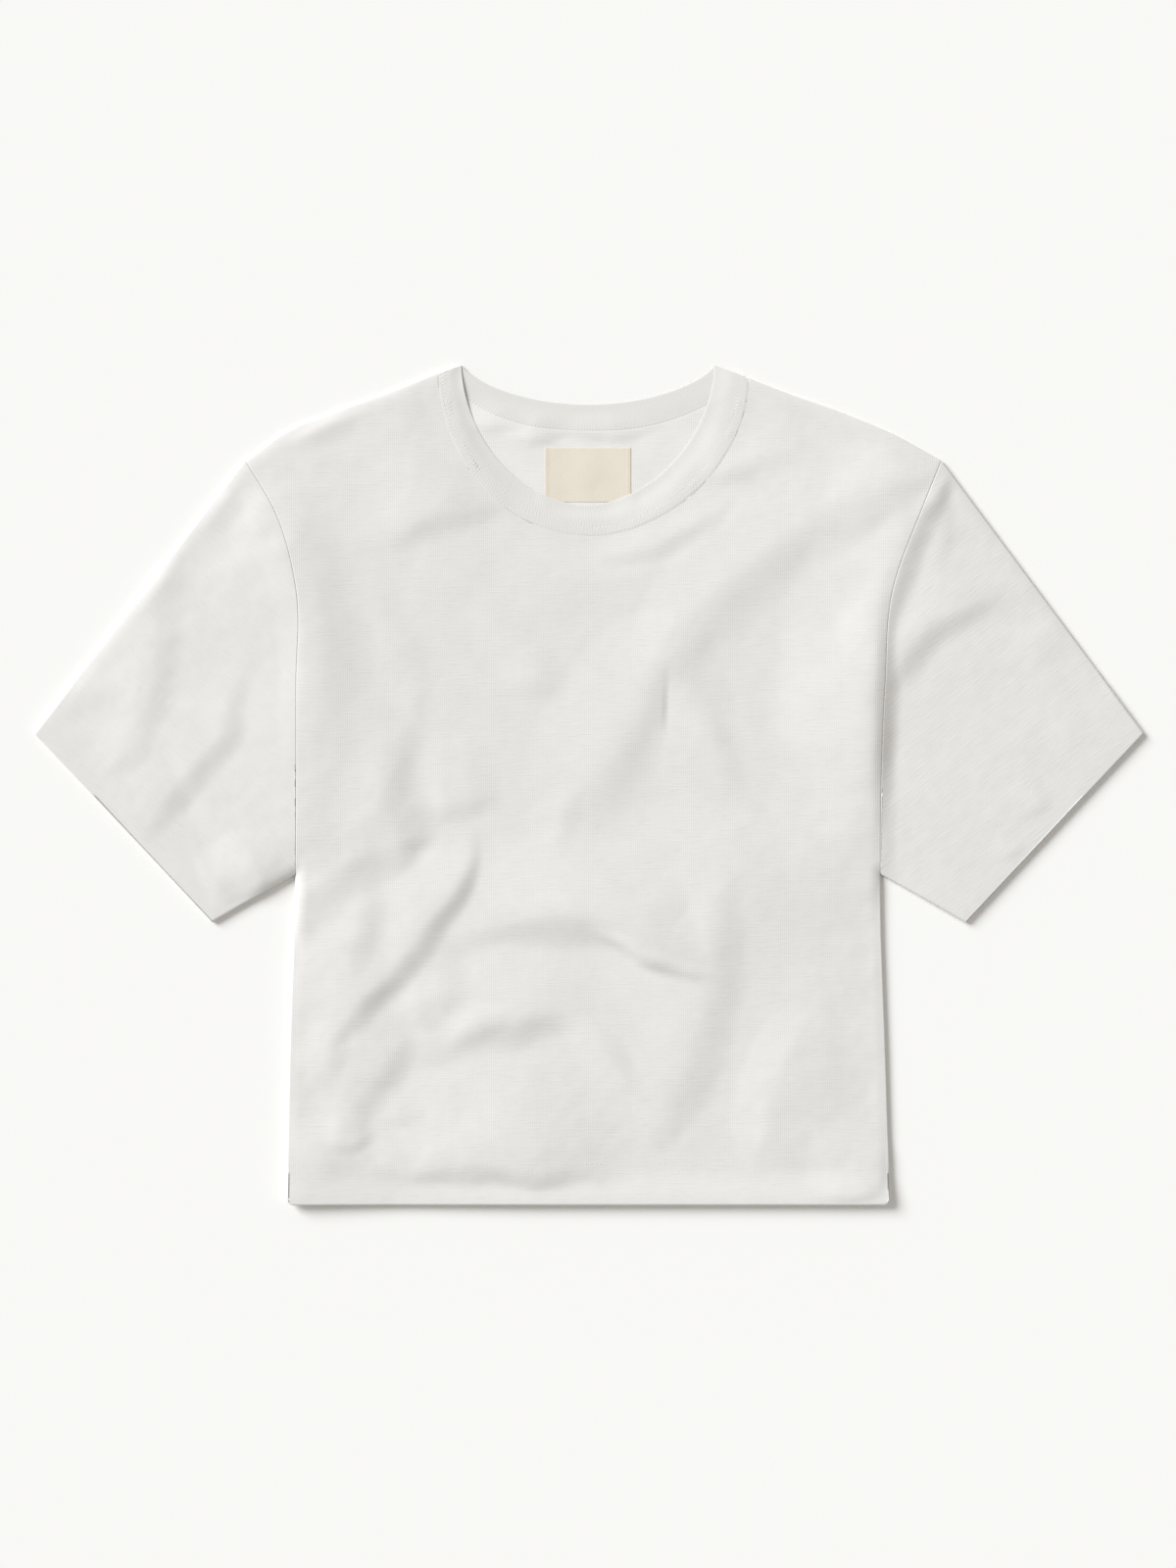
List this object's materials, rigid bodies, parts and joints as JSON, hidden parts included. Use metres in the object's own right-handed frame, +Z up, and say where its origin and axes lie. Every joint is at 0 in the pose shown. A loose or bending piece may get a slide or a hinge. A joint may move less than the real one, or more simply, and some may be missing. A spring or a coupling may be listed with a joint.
{
  "type": "crop top",
  "caption": "Cropped crew-neck T-shirt with short drop-shoulder sleeves, laid flat with its front up, with a rib neckband and a blank neck label.",
  "frame": {"origin": "centre of the laid garment's bounding box, on the surface it lies on", "axes": "+X from the wearer's right to their left, +Y from the hem to the neck, +Z up out of the front"},
  "size_m": [0.7546, 0.5714, 0.0137],
  "materials": {
    "jersey": "off-white slub cotton jersey, matt",
    "rib": "off-white cotton rib knit, matt",
    "label": "cream woven label"
  },
  "bodies": {
    "root": {"back_panel": "jersey", "front_panel": "jersey", "right_sleeve": "jersey", "left_sleeve": "jersey", "neckband": "rib", "neck_label": "label"}
  },
  "joints": []
}
